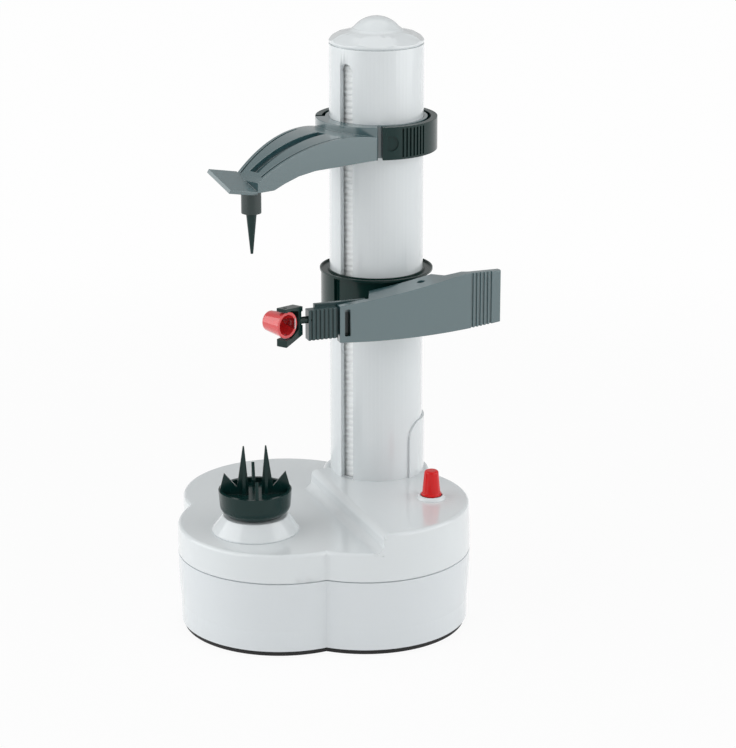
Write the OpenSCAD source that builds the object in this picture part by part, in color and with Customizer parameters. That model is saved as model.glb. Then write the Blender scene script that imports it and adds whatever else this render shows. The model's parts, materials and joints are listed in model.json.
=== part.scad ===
// Electric potato peeler, built as an assembly of separate pieces.
// Millimetres, Z up, origin at the centre of the base on the rest surface.
// X runs to the viewer's right and Y runs away from the viewer.

/* [Base] */
// width and depth of the base at its widest level
base_w = 140; // [134:1:156]
// radius of the large lobes of the base, as a share of its width
lobe_share = 0.3571; // [0.35:0.001:0.37]
// how much larger the front right lobe is than the other two
lobe_more = 0.8; // [0:0.1:2]
// how far the front right lobe sits further out to the right
lobe_out = 0.7; // [0:0.1:2]
// how far the front right lobe sits back from the front left one
lobe_shift = 2.8; // [0:0.5:5]
// thickness of the rubber pad under the base
pad_t = 2.6; // [1.8:0.1:3.4]
// thickness of the housing walls
wall_t = 2.5; // [1.8:0.1:3.5]
// height of the parting line between the two housings
seam_z = 37.6; // [32:0.2:42]
// height of the low deck under the food holder
low_deck_z = 51.6; // [48:0.2:56]
// height of the high deck that carries the column
high_deck_z = 61; // [57:0.2:66]
// height at which the base walls are widest
belly_z = 40; // [34:0.5:44]
// radius of the upright curve of the base walls
belly_r = 300; // [220:5:450]
// rounding of the deck edges
deck_edge_r = 1.8; // [1:0.1:2.4]
// rounding along the crest of the step between the decks
crest_r = 3.2; // [2:0.1:4.5]
// height of the small groove along the parting line
seam_groove = 0.6; // [0.3:0.05:0.8]
// how far the foot of the step between the decks lies outside its crest
step_foot = 4.5; // [3:0.1:6]

/* [Column] */
// outside radius of the column
column_r = 22.8; // [20:0.1:26]
// wall of the column
column_wall = 2.5; // [2:0.1:3.5]
// height of the joint between column and cap
cap_seam_z = 275; // [250:0.5:300]
// height of the cap above its joint
cap_h = 13; // [11.5:0.1:15]
// depth of the groove at the joint between column and cap
cap_groove = 0.8; // [0.5:0.05:1]
// width of the slot in the column
slot_w = 7.6; // [6:0.1:9]
// distance of the slot's top end below the cap
slot_stop = 7; // [5:0.2:12]
// height of the thin cover round the back of the column's foot
fairing_h = 28; // [20:0.5:36]
// thickness of that cover
fairing_t = 1; // [0.8:0.1:1.6]

/* [Food holder] */
// radius of the cup at its rim
cup_r = 17.5; // [15:0.1:21]
// height of the cup
cup_h = 12.5; // [10:0.1:16]
// height of the cone under the cup
cone_h = 7.8; // [5:0.1:10]
// radius of the cone's foot
cone_foot_r = 20.9; // [18:0.1:25]
// height of the tall prongs above the rim
prong_h = 21.4; // [15:0.2:28]
// height of the rim teeth above the rim
tooth_h = 8.4; // [5:0.2:12]

/* [Upper arm] */
// height of the underside of the upper collar
collar_z = 224.2; // [205:0.2:235]
// height of the upper collar
collar_h = 15.7; // [12:0.1:20]
// outside radius of the upper collar
collar_r = 29.4; // [27:0.1:33]
// half width of the arm at its tip
tip_half_w = 8; // [6:0.1:10]
// length of the arm beyond the food axis
tip_over = 3.5; // [2:0.1:6]
// radius of the curve along the arm's top
arch_r = 90; // [82:1:105]
// length of the top spike under its boss
spike_len = 19.2; // [14:0.2:26]

/* [Lower carriage] */
// height of the underside of the carriage ring
ring_z = 144.5; // [130:0.5:160]
// height of the carriage ring
ring_h = 20.3; // [18:0.1:23]
// outside radius of the carriage ring
ring_r = 25; // [24.6:0.1:26]
// outside radius of the thicker left and back part of the ring
ring_back_r = 27; // [26.5:0.1:28]
// length of the peeling arm up to its ribbed grip
plate_len = 66.6; // [60:0.2:74]
// height of the peeling arm at its left end
plate_h = 17.6; // [15:0.1:20]
// how much taller the arm is at its grip
plate_rise = 9.6; // [5:0.1:12]
// length of the ribbed grip
grip_len = 13.9; // [12:0.1:16]
// outside radius of the red blade holder at its mouth
thimble_r = 6.3; // [6:0.05:6.4]

/* [Drive] */
// tooth module of the fast gears, as a share of that of the slow ones
fast_share = 0.8; // [0.78:0.01:0.82]
// free play between meshing teeth
tooth_play = 0.36; // [0.25:0.01:0.5]
// radius of the motor can
motor_r = 12; // [10:0.1:13]
// length of the motor can
motor_len = 23.5; // [18:0.5:24]

/* [Fits] */
// gap round turning and sliding round fits
fit = 0.05; // [0.01:0.01:0.1]
// gap round sliding collars
slide_fit = 0.1; // [0.05:0.01:0.1]
// gap between neighbouring pieces that move past each other
gap = 0.3; // [0.25:0.05:0.6]

/* [Hidden] */
// extra length of every cutting body
over = 1;
// all lengths in this section that are not worked out from others are sizes
// fineness of round surfaces
$fn = 96;
// unit turn
full_turn = 360;
half_turn = full_turn / 2;
right_angle = full_turn / 4;

// plan of the base
lobe_r = base_w * lobe_share;
lobe_c = base_w / 2 - lobe_r;
fl = [-lobe_c, -lobe_c];
bl = [-lobe_c, lobe_c];
fr = [lobe_c + lobe_out, -lobe_c + lobe_shift];
fr_r = lobe_r + lobe_more;
lobes = [[fl, lobe_r], [bl, lobe_r], [fr, fr_r]];
// inset of the walls from their widest level, at a height
function inset(z) = belly_r - sqrt(belly_r * belly_r - (z - belly_z) * (z - belly_z));
cavity_in = inset(pad_t) + wall_t;

// gear train in plan, from the food axis to the column axis
holder_teeth = 48;
idler_teeth = 48;
screw_teeth = 28;
small_teeth = 12;
large_teeth = 60;
pinion_teeth = 10;
addendum_share = 0.8;
dedendum_share = 1.25;
flank_angle = 20;
function pitch_r(m, n) = m * n / 2;
function turned(a, r) = [r * cos(a), r * sin(a)];
slow_mod_share = 0.0071429;
slow_mod = base_w * slow_mod_share;
fast_mod = slow_mod * fast_share;
food_shares = [-0.227143, -0.244286];
food = base_w * food_shares;
line_angle = 47.7;
idler = food + turned(line_angle, pitch_r(slow_mod, holder_teeth + idler_teeth));
col = idler + turned(line_angle, pitch_r(slow_mod, idler_teeth + screw_teeth));
reach = pitch_r(slow_mod, holder_teeth + 2 * idler_teeth + screw_teeth);
small_angle = 6;
large_angle = -15;
cluster = food + turned(small_angle, pitch_r(slow_mod, holder_teeth + small_teeth));
motor_at = cluster + turned(large_angle, pitch_r(fast_mod, large_teeth + pinion_teeth));
function mesh(phase, dir, na, nb) = dir + half_turn - (phase - dir) * na / nb + half_turn / nb;
holder_phase = line_angle;
idler_phase = mesh(holder_phase, line_angle, holder_teeth, idler_teeth);
screw_phase = mesh(idler_phase, line_angle, idler_teeth, screw_teeth);
small_phase = mesh(holder_phase, small_angle, holder_teeth, small_teeth);
pinion_phase = mesh(small_phase, large_angle, large_teeth, pinion_teeth);

// how much the hollow of the step is larger than one that just meets the crest
step_hollow_share = 1.01;

// column lobe of the base
col_margin = 4.2;
col_lobe_r = column_r + col_margin;

// step line between the decks, a point on it and its turn from the Y axis
step_shares = [0.0343, -0.0214];
step_at = base_w * step_shares;
step_angle = 21.2;

// levels inside the base
floor_z = pad_t + wall_t;
gear_z = 10;
gear_t = 5;
fast_z = 16.5;
fast_t = 4;
shelf_z = 22;
shelf_t = 2;
axle_r = 1.5;
axle_boss_r = 4;
shaft_r = 4;
shaft_top_z = 68;
hub_r = 4;
hub_wall = 1;

// posts and screws
post_r = 3;
post_shares = [[-0.4214, -0.0429], [0.3571, -0.2429], [0.35, 0.0286]];
posts = base_w * post_shares;
tower_shares = [[-0.4286, 0.1571], [0.4286, -0.1714], [-0.0571, -0.4286], [0.0871, 0.3393]];
towers = base_w * tower_shares;
tower_r = 4.5;
head_r = 3;
head_t = 2;
thread_r = 1.5;
screw_seat_z = 30;
screw_len = 13;

// cells
cell_r = 7.25;
cell_len = 49;
cell_tip_r = 2.6;
cell_tip_h = 1.3;
cell_shares = [-0.3143, 0.2425];
cell_x = base_w * cell_shares[0];
cell_y = base_w * cell_shares[1];
cell_gap = 0.1;
cell_z = floor_z + gap + cell_r;
contact_t = 0.5;
door_x0 = cell_x - gap;
door_x1 = cell_x + cell_len + cell_tip_h + gap;
door_y0 = cell_y - cell_r;
door_y1 = cell_y + 3 * cell_r + cell_gap;

// start button
button_out = 32;
button_back = 1.2;
button_x = fr[0] + button_out;
button_y = fr[1] + button_back;
bezel_r = 7.3;
bezel_top_r = 5.9;
bezel_h = 1.6;
press = 1.2;
stem_r = 2.2;
cap_flange_r = 5;
cap_flange_t = 1;
cap_base_r = 4.5;
cap_top_r = 3.5;
cap_total_h = 12.5;
button_z = high_deck_z + press + gap;
switch_z = 45.5;
switch_l = 13;
switch_w = 6;
switch_h = 6;
recess_r = 3.6;
recess_h = 2.5;
stem_low_z = switch_z + switch_h + press + gap;
clip_z = high_deck_z - recess_h - wall_t - gap;

// lead screw
spigot_h = 6;
foot_disc_t = 3;
plug_h = 6;
screw_room = 0.9;
screw_r = column_r - column_wall - screw_room;
screw_root_r = screw_r - screw_room;
screw_in_r = screw_root_r - wall_t;
screw_pitch = 3;
screw_top_t = 4;
journal_r = 3;
screw_low_z = high_deck_z - spigot_h + foot_disc_t + gap;
screw_high_z = cap_seam_z - plug_h - gap;
journal_top_z = cap_seam_z - wall_t;
slot_angle = 39.5;
slot_top_z = cap_seam_z - slot_stop;

// colours
white_c = [0.93, 0.94, 0.94];
slate_c = [0.36, 0.46, 0.45];
dark_c = [0.10, 0.20, 0.18];
black_c = [0.06, 0.07, 0.07];
red_c = [0.80, 0.12, 0.14];
steel_c = [0.74, 0.75, 0.77];
nylon_c = [0.90, 0.90, 0.88];
brass_c = [0.80, 0.65, 0.32];

// sizes of the finer details
pad_side = 0.1;
motor_shaft_r = 1;
motor_shaft_in = 12;
thread_share = 0.2;
cone_lip = 0.8;
cone_top_r = 15.5;
cup_z = low_deck_z + cone_h + gap;
cup_wall = 1.8;
cup_taper = 0.5;
cup_round = 5.5;
cup_low_r = cup_r - cup_taper;
cup_flat_r = cup_low_r - cup_round;
cup_dish = 2.5;
rim_z = cup_z + cup_h;
cup_hub_r = 7;
cup_hub_h = 6;
fin_t = 1.5;
tooth_tip_r = 14.7;
fin_mid_r = 8.6;
fin_mid_h = 1.2;
prong_tip_r = 5.3;
prong_in_r = 3.1;
prong_tip_w = 0.7;
prong_side = 5;
prong_angle = 6;
cap_lip_h = 2.6;
shoulder_z = cap_seam_z + cap_lip_h;
cap_shoulder_h = 2.2;
cap_shoulder_in = 3.6;
crown_r = 13.4;
crown_rise = 1.2;
dome_r = 12.2;
dome_foot = 1.4;
dome_h = cap_h - cap_lip_h - cap_shoulder_h - crown_rise;
dome_ball_r = (dome_r * dome_r + dome_h * dome_h) / (2 * dome_h);
facets = 8;
fairing_half_angle = 96.6;
fairing_corner_r = 8;
fairing_mid = right_angle - slot_angle;
cap_round = 1.2;
arm_from_col = [-19.079, -54.408];
arm_x = col[0] + arm_from_col[0];
arm_y = col[1] + arm_from_col[1];
arm_angle = 20.3;
function arm_at(s, t) = [arm_x + s * cos(arm_angle) - t * sin(arm_angle),
    arm_y + s * sin(arm_angle) + t * cos(arm_angle)];
pivot_s = 46.4;
pivot_t = 9;
pivot = arm_at(pivot_s, pivot_t);
pin_r = 1.8;
lug_r = 5;
lug_h = 8;
lug_in = 19;
arm_drop = 2.3;
arm_low_z = ring_z - arm_drop;
lug_up = 7;
lug_z = arm_low_z + lug_up;
nut_w = 6.8;
nut_h = 13;
nut_cover = 1;
nut_out_r = ring_r - nut_cover;
nut_up = 4;
screw_clear = 0.4;
nut_bore_r = screw_r + screw_clear;
ring_lip = 0.6;
ring_edge_angle = 49;
ring_back_angle = 180;
arm_s0 = 2;
arm_s1 = arm_s0 + plate_len;
arm_thin = 4.6;
arm_deep = 15;
arm_belly = 1.9;
arm_belly_r = 366;
arm_belly_s = 33;
arm_deep_s0 = 22;
arm_deep_s1 = 54;
arm_end_t = 4;
arm_curve_r = 381;
arm_curve_s = 25;
arm_slot_s = 4.6;
arm_slot_w = 2.6;
arm_slot_d = 3;
arm_slot_in = 2.3;
grip_ribs = 6;
grip_rib_step = 1.9;
grip_rib_s = 0.4;
grip_rib_w = 0.9;
grip_rib_d = 0.9;
grip_bulge = 2;
arm_wall = 2.2;
spring_wire = 0.4;
spring_room = 3.9;
arm_top_drop = 10.9;
slider_s0 = -13.6;
slider_s1 = 1;
slider_t = 5;
slider_up = 2;
slider_z = arm_low_z + slider_up;
slider_h = 14.7;
slider_ribs = 7;
slider_rib_w = 0.9;
slider_rib_d = 0.8;
tongue_s0 = -9;
tongue_s1 = 17;
tongue_t = 2.2;
tongue_h = 16.2;
rod_up = 9.8;
rod_z = slider_z + rod_up;
rod_r = 1.7;
rod_in = 3;
rod_t = 2.5;
head_s = -26;
head_side = -2;
yoke_angle = 36.2;
yoke_wide = 5.7;
yoke_web_w = 8.3;
yoke_web_t = 2.4;
yoke_end = 10.5;
yoke_flat = 1.5;
yoke_top = 8.4;
yoke_top_end = 7;
yoke_top_in = 4.4;
yoke_low = 10.3;
yoke_low_end = 7;
yoke_low_in = 2.1;
head_room = thimble_r + gap;
web_s = head_s + yoke_web_w * cos(yoke_angle);
blade_pin_r = 0.9;
thimble_small_r = 5;
thimble_round = 1.5;
thimble_mouth = 1.5;
thimble_back = 11;
thimble_wall = 1.2;
thimble_angle = 64;
blade_t = 0.5;
blade_w = 5;
blade_side = 4.2;
blade_back = 6;
blade_front = 2.2;
reach_angle = line_angle;
collar_half_angle = 43.3;
arm_root = 21;
arm_root_w = 20;
arm_tip = reach + tip_over;
under_h = 5.8;
under_backs = [29, 19.6, 11.4, 5.8];
under_drops = [0, 1.2, 3.6, under_h];
groove_w = 5.5;
groove_d = 3;
groove_s0 = 38;
groove_end = 2;
side_groove_in = 1.6;
side_groove_w = 0.8;
side_groove_d = 1;
side_groove_s0 = 40;
wing_back = 1.5;
wing_drop = 1.8;
wing_t = 2;
wing_len = 18.5;
wing_half_w = 8.8;
boss_r = 4.7;
boss_h = 11.1;
boss_low_z = collar_z - under_h - boss_h;
spike_r = 2.5;
spike_pin_r = 1.8;
spike_snap = 0.5;
spike_snap_t = 1;
spike_snap_up = 11;
spike_top_up = 13.5;
arch_s = 41;
arch_top = 13.2;
hub_out_r = 24.7;
wing_roll_angle = -25;
wing_pitch_angle = -13;
grip_half_angle = 132;
grip_in_r = 26.2;
grip_ribs_n = 7;
grip_rib_angle = 67.7;
grip_dent_angle = 56;
grip_dent_r = 3.6;
grip_dent_d = 1;
leaf_t = 0.2;
leaf_in = 4;
leaf_half_angle = 30;
grip_step_angle = 4;

// ---- shared shapes

// upright profile of a base lobe with a rounded top edge
module lobe_profile(r, z0, z1) {
    zc = z1 - deck_edge_r;
    rc = r - inset(zc) - deck_edge_r;
    union() {
        intersection() {
            translate([r - belly_r, belly_z]) circle(r = belly_r, $fn = full_turn);
            translate([0, z0]) square([r + over, zc - z0]);
        }
        translate([0, z0]) square([rc, z1 - z0]);
        translate([rc, zc]) circle(r = deck_edge_r);
    }
}

module lobe(c, r, z0, z1) {
    translate([c[0], c[1], 0]) rotate_extrude() lobe_profile(r, z0, z1);
}

// lobe without a rounded edge, for the parts of the wall below the decks
module band_lobe(c, r, z0, z1) {
    translate([c[0], c[1], 0]) rotate_extrude() intersection() {
        translate([r - belly_r, belly_z]) circle(r = belly_r, $fn = full_turn);
        translate([0, z0]) square([r + over, z1 - z0]);
    }
}

module rod(c, r, z0, z1) {
    translate([c[0], c[1], z0]) cylinder(r = r, h = z1 - z0);
}

module tube(c, ro, ri, z0, z1) {
    difference() {
        rod(c, ro, z0, z1);
        rod(c, ri, z0 - over, z1 + over);
    }
}

// block to the right of the step line, with a rounded upper edge and, when asked, a hollow foot
module right_of_step(shift, z0, z1, edge, foot) {
    zf = low_deck_z;
    zt = z1 - edge - zf;
    hollow_r = step_hollow_share * ((edge + foot) * (edge + foot) + zt * zt - edge * edge)
        / (2 * (zt + edge));
    translate([step_at[0], step_at[1], 0]) rotate([0, 0, step_angle])
        translate([shift, base_w, 0]) rotate([right_angle, 0, 0])
        linear_extrude(height = 2 * base_w) union() {
            translate([0, z0]) square([base_w, z1 - edge - z0]);
            translate([edge, z0]) square([base_w - edge, z1 - z0]);
            translate([edge, z1 - edge]) circle(r = edge);
            if (foot > 0) difference() {
                polygon([[edge, zf - over], [-foot, zf - over], [-foot, zf], [0, z1 - edge],
                    [edge, z1 - edge]]);
                translate([-foot, zf + hollow_r]) circle(r = hollow_r);
            }
        }
}

// outline of the base, seen from above, taken in by a distance
module base_outline(d) {
    for (l = lobes) translate(l[0]) circle(r = l[1] - d);
    translate(col) circle(r = col_lobe_r - d);
}

// gear with straight sided teeth
module gear(m, n, phase, z0, t) {
    p = pitch_r(m, n);
    ro = p + m * addendum_share;
    ri = p - m * dedendum_share;
    half = (m * PI / 2 - tooth_play) / 2;
    tip = half - m * addendum_share * tan(flank_angle);
    root = half + m * dedendum_share * tan(flank_angle);
    at = asin(tip / ro);
    ar = asin(root / ri);
    translate([0, 0, z0]) linear_extrude(height = t) rotate(phase)
        polygon([for (i = [0:n - 1]) for (k = [0:3])
            let (a = i * full_turn / n + [-ar, -at, at, ar][k])
            turned(a, [ri, ro, ro, ri][k])]);
}

// ring with a round section, one coil of a spring
module coil(r, wire) {
    rotate_extrude() translate([r, 0]) circle(r = wire, $fn = 24);
}

// part of a ring between two angles from its centre line
module sector(ro, ri, z0, z1, mid, half) {
    rotate([0, 0, mid - half]) rotate_extrude(angle = 2 * half)
        translate([ri, z0]) square([ro - ri, z1 - z0]);
}

// ---- base

module foot_pad() color(black_c) {
    difference() {
        linear_extrude(height = pad_t) base_outline(inset(pad_t) + pad_side);
        translate([door_x0 - over, door_y0 - over, -over])
            cube([door_x1 - door_x0 + 2 * over, door_y1 - door_y0 + 2 * over, pad_t + 2 * over]);
        for (t = towers) rod(t, tower_r, -over, pad_t + over);
    }
}

// shell of the lower half, with posts, axle bosses and screw towers
module lower_housing() color(white_c) {
    difference() {
        union() {
            difference() {
                union() {
                    for (l = lobes) band_lobe(l[0], l[1], pad_t, seam_z - seam_groove);
                    band_lobe(col, col_lobe_r, pad_t, seam_z - seam_groove);
                    linear_extrude(height = seam_z) base_outline(wall_t / 2);
                }
                translate([0, 0, floor_z]) linear_extrude(height = seam_z)
                    base_outline(cavity_in);
            }
            for (p = posts) rod(p, post_r, floor_z - over, shelf_z);
            for (p = [idler, cluster]) rod(p, axle_boss_r, floor_z - over, gear_z - gap);
            rod(food, shaft_r + wall_t, floor_z - over, gear_z - gap);
            rod(col, journal_r + wall_t, floor_z - over, gear_z - gap);
            for (t = towers) rod(t, tower_r, floor_z - over, seam_z);
        }
        translate([0, 0, -over]) linear_extrude(height = pad_t + over) square(2 * base_w, center = true);
        for (p = [idler, cluster]) rod(p, axle_r + fit, floor_z, seam_z);
        rod(food, shaft_r + fit, floor_z, seam_z);
        rod(col, journal_r + fit, floor_z, seam_z);
        for (p = posts) rod(p, thread_r / 2 + fit, shelf_z - screw_len / 2, seam_z);
        for (t = towers) {
            rod(t, head_r + fit, -over, screw_seat_z);
            rod(t, thread_r + fit, screw_seat_z - over, seam_z + over);
        }
        translate([door_x0, door_y0, 0])
            cube([door_x1 - door_x0, door_y1 - door_y0, floor_z + over]);
    }
}

// shell of the upper half with both decks
module upper_housing() color(white_c) {
    difference() {
        union() {
            difference() {
                union() {
                    for (l = lobes) lobe(l[0], l[1], seam_z, low_deck_z);
                    lobe(col, col_lobe_r, seam_z, low_deck_z);
                    intersection() {
                        union() {
                            lobe(fr, fr_r, low_deck_z - 2 * deck_edge_r, high_deck_z);
                            lobe(col, col_lobe_r, low_deck_z - 2 * deck_edge_r, high_deck_z);
                        }
                        right_of_step(0, seam_z, high_deck_z, crest_r, step_foot);
                    }
                }
                translate([0, 0, seam_z - over]) linear_extrude(height = low_deck_z - wall_t - seam_z + over)
                    base_outline(cavity_in);
                intersection() {
                    rod(fr, fr_r - cavity_in, seam_z, high_deck_z - wall_t);
                    right_of_step(wall_t, seam_z - over, high_deck_z - wall_t, crest_r, 0);
                }
            }
            rod(food, shaft_r + wall_t, shelf_z + 2 * shelf_t + motor_r, low_deck_z - over);
            for (t = towers) rod(t, tower_r, seam_z, low_deck_z - over);
            rod(towers[1], tower_r, seam_z, high_deck_z - over);
            translate([button_x - switch_l / 2, button_y + switch_w / 2, switch_z])
                cube([switch_l, wall_t, high_deck_z - over - switch_z]);
            rod([button_x, button_y], recess_r + wall_t, high_deck_z - recess_h - wall_t,
                high_deck_z - over);
        }
        rod(food, shaft_r + fit, seam_z - over - motor_r, high_deck_z);
        rod(col, column_r - over + fit, high_deck_z - spigot_h - gap, high_deck_z + over);
        rod(col, journal_r + wall_t, seam_z - over, high_deck_z);
        rod([button_x, button_y], stem_r + fit, high_deck_z - recess_h - wall_t - over,
            high_deck_z + over);
        rod([button_x, button_y], recess_r, high_deck_z - recess_h, high_deck_z + over);
        for (t = towers) rod(t, thread_r + fit, seam_z - over, screw_seat_z + screw_len + gap);
    }
}

module battery_door() color(white_c) {
    difference() {
        translate([door_x0 + gap, door_y0 + gap, pad_t])
            cube([door_x1 - door_x0 - 2 * gap, door_y1 - door_y0 - 2 * gap, wall_t]);
        translate([door_x0 + 2 * cell_tip_r, (door_y0 + door_y1) / 2, pad_t])
            rotate([right_angle, 0, 0])
            cylinder(r = cell_tip_h, h = cell_r * 2, center = true);
    }
}

// one dry cell, lying along X
module cell(row, level, flip) {
    translate([cell_x + (flip ? cell_len + cell_tip_h : 0), cell_y + row * (2 * cell_r + cell_gap),
        cell_z + level * (2 * cell_r + cell_gap)])
        rotate([0, flip ? -right_angle : right_angle, 0]) union() {
            color(black_c) cylinder(r = cell_r, h = cell_len);
            color(brass_c) cylinder(r = cell_tip_r, h = cell_len + cell_tip_h);
        }
}
module cell_1() cell(0, 0, false);
module cell_2() cell(1, 0, true);
module cell_3() cell(0, 1, true);
module cell_4() cell(1, 1, false);

// spring plates at the two ends of the cells
module contact(x) color(steel_c) {
    translate([x, door_y0 + gap, floor_z])
        cube([contact_t, door_y1 - door_y0 - 2 * gap, 4 * cell_r]);
}
module contact_left() contact(door_x0 - contact_t);
module contact_right() contact(door_x1);

// shelf that carries the motor and the upper ends of the axles
module gear_shelf() color(black_c) {
    difference() {
        translate([0, 0, shelf_z]) linear_extrude(height = shelf_t) intersection() {
            union() {
                translate(fl) circle(r = lobe_r - cavity_in - gap);
                translate(fr) circle(r = fr_r - cavity_in - gap);
            }
            translate([-base_w, -base_w]) square([2 * base_w, base_w + door_y0 - 2 * gap]);
        }
        rod(food, shaft_r + gap, shelf_z - over, shelf_z + shelf_t + over);
        rod(col, 3 * axle_boss_r, shelf_z - over, shelf_z + shelf_t + over);
        for (p = [idler, cluster]) rod(p, axle_r + fit, shelf_z - over, shelf_z + shelf_t + over);
        rod(motor_at, axle_boss_r, shelf_z - over, shelf_z + shelf_t + over);
        for (p = posts) rod(p, thread_r + gap, shelf_z - over, shelf_z + shelf_t + over);
        for (t = towers) rod(t, tower_r + gap, shelf_z - over, shelf_z + shelf_t + over);
    }
}

module shelf_screws() color(steel_c) {
    for (p = posts) union() {
        rod(p, thread_r / 2, shelf_z - screw_len / 2 + gap, shelf_z + shelf_t);
        rod(p, head_r - over / 2, shelf_z + shelf_t, shelf_z + shelf_t + head_t);
    }
}

module housing_screws() color(steel_c) {
    for (t = towers) union() {
        rod(t, head_r, screw_seat_z - head_t, screw_seat_z);
        rod(t, thread_r, screw_seat_z - head_t / 2, screw_seat_z + screw_len);
    }
}

// ---- drive

module motor() color(steel_c) {
    z0 = shelf_z + shelf_t;
    difference() {
        union() {
            rod(motor_at, motor_r, z0, z0 + motor_len);
            rod(motor_at, axle_boss_r - gap, z0 - shelf_t / 2, z0 + over);
            rod(motor_at, motor_r / 4, z0 + motor_len - over, z0 + motor_len + head_t / 2);
        }
        rod(motor_at, motor_shaft_r + fit, z0 - shelf_t, z0 + motor_shaft_in + over);
    }
}

module motor_shaft() color(steel_c)
    rod(motor_at, motor_shaft_r, fast_z, shelf_z + shelf_t + motor_shaft_in);

module motor_pinion() color(brass_c) {
    difference() {
        translate([motor_at[0], motor_at[1], 0])
            gear(fast_mod, pinion_teeth, pinion_phase, fast_z, fast_t);
        rod(motor_at, motor_shaft_r, fast_z - over, fast_z + fast_t + over);
    }
}

module cluster_gear() color(white_c) {
    difference() {
        translate([cluster[0], cluster[1], 0]) union() {
            gear(slow_mod, small_teeth, small_phase, gear_z, gear_t);
            rod([0, 0], hub_r, gear_z + gear_t - over / 2, fast_z + over / 2);
            gear(fast_mod, large_teeth, small_phase, fast_z, fast_t);
            rod([0, 0], hub_r, fast_z, shelf_z - gap);
        }
        rod(cluster, axle_r + fit, gear_z - over, shelf_z + over);
    }
}

module cluster_axle() color(steel_c) rod(cluster, axle_r, floor_z, shelf_z + shelf_t);
module idler_axle() color(steel_c) rod(idler, axle_r, floor_z, shelf_z + shelf_t);

module idler_gear() color(white_c) {
    difference() {
        translate([idler[0], idler[1], 0]) union() {
            gear(slow_mod, idler_teeth, idler_phase, gear_z, gear_t);
            rod([0, 0], hub_r, gear_z, shelf_z - gap);
        }
        rod(idler, axle_r + fit, gear_z - over, shelf_z + over);
    }
}

module holder_gear() color(white_c) {
    difference() {
        translate([food[0], food[1], 0]) union() {
            gear(slow_mod, holder_teeth, holder_phase, gear_z, gear_t);
            rod([0, 0], shaft_r + hub_wall, gear_z, shelf_z - gap);
        }
        rod(food, shaft_r, gear_z - over, shelf_z + over);
    }
}

module holder_shaft() color(steel_c) rod(food, shaft_r, floor_z, shaft_top_z);

module screw_gear() color(white_c) {
    difference() {
        translate([col[0], col[1], 0]) union() {
            gear(slow_mod, screw_teeth, screw_phase, gear_z, gear_t);
            rod([0, 0], 2 * hub_r, gear_z, shelf_z - gap);
        }
        rod(col, journal_r, gear_z - over, shelf_z + over);
    }
}

// hollow screw that fills the column, its thread drawn as a row of ridges
module lead_screw() color(nylon_c) {
    turns = floor((screw_high_z - screw_low_z) / screw_pitch);
    translate([col[0], col[1], 0]) union() {
        rotate_extrude() polygon(concat(
            [[screw_in_r, screw_low_z], [screw_root_r, screw_low_z]],
            [for (i = [0:turns - 1]) for (k = [0:3])
                [[screw_root_r, screw_r, screw_r, screw_root_r][k],
                 screw_low_z + (i + [thread_share, 2 * thread_share, 3 * thread_share,
                    4 * thread_share][k]) * screw_pitch]],
            [[screw_root_r, screw_high_z], [0, screw_high_z],
             [0, screw_high_z - screw_top_t], [screw_in_r, screw_high_z - screw_top_t]]));
        rod([0, 0], journal_r, floor_z, journal_top_z);
    }
}

// ---- food holder

module cone_seat() color(white_c) {
    difference() {
        translate([food[0], food[1], low_deck_z]) union() {
            cylinder(r = cone_foot_r, h = cone_lip);
            translate([0, 0, cone_lip])
                cylinder(r1 = cone_foot_r, r2 = cone_top_r, h = cone_h - cone_lip);
        }
        rod(food, shaft_r + gap, low_deck_z - over, low_deck_z + cone_h + over);
    }
}

// radial fin with its rim tooth, tall when it also carries a prong
module fin(tall) {
    low = rim_z - cup_dish - over / 2;
    rotate([right_angle, 0, 0]) translate([0, 0, -fin_t / 2]) linear_extrude(height = fin_t)
        polygon(concat(
            [[tall ? prong_in_r : fin_mid_r, low], [cup_r - cup_wall / 2, low],
             [cup_r - cup_wall / 4, rim_z - over / 2], [tooth_tip_r, rim_z + tooth_h],
             [fin_mid_r, rim_z + fin_mid_h]],
            tall ? [[prong_tip_r + prong_tip_w / 2, rim_z + prong_h],
                    [prong_tip_r - prong_tip_w / 2, rim_z + prong_h],
                    [prong_in_r, rim_z + fin_mid_h]] : []));
}

// fin across a prong, to give it a cross section
module cross_fin() {
    low = rim_z - cup_dish - over / 2;
    translate([prong_tip_r + fin_t / 2, 0, 0]) rotate([right_angle, 0, -right_angle])
        linear_extrude(height = fin_t)
        polygon([[-prong_side / 2, low], [prong_side / 2, low], [prong_side / 2, rim_z + fin_mid_h],
            [prong_tip_w / 2, rim_z + prong_h - prong_side],
            [-prong_tip_w / 2, rim_z + prong_h - prong_side],
            [-prong_side / 2, rim_z + fin_mid_h]]);
}

module food_holder() color(slate_c) {
    difference() {
        translate([food[0], food[1], 0]) union() {
            rotate_extrude() difference() {
                union() {
                    polygon([[0, cup_z], [cup_flat_r, cup_z], [cup_low_r, cup_z + cup_round],
                        [cup_r, rim_z], [0, rim_z]]);
                    translate([cup_flat_r, cup_z + cup_round]) circle(r = cup_round);
                }
                translate([cup_hub_r, cup_z - over]) square([cup_flat_r - cup_hub_r - cup_wall / 2,
                    cup_hub_h + over]);
                translate([-over, rim_z - cup_dish]) square([cup_r - cup_wall + over, cup_dish + over]);
            }
            rotate([0, 0, prong_angle]) for (i = [0:3])
                rotate([0, 0, i * right_angle]) fin(i % 2 == 0);
            rotate([0, 0, prong_angle]) for (i = [0, 2])
                rotate([0, 0, i * right_angle]) cross_fin();
        }
        rod(food, shaft_r, cup_z - over, shaft_top_z);
    }
}

// ---- column

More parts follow.
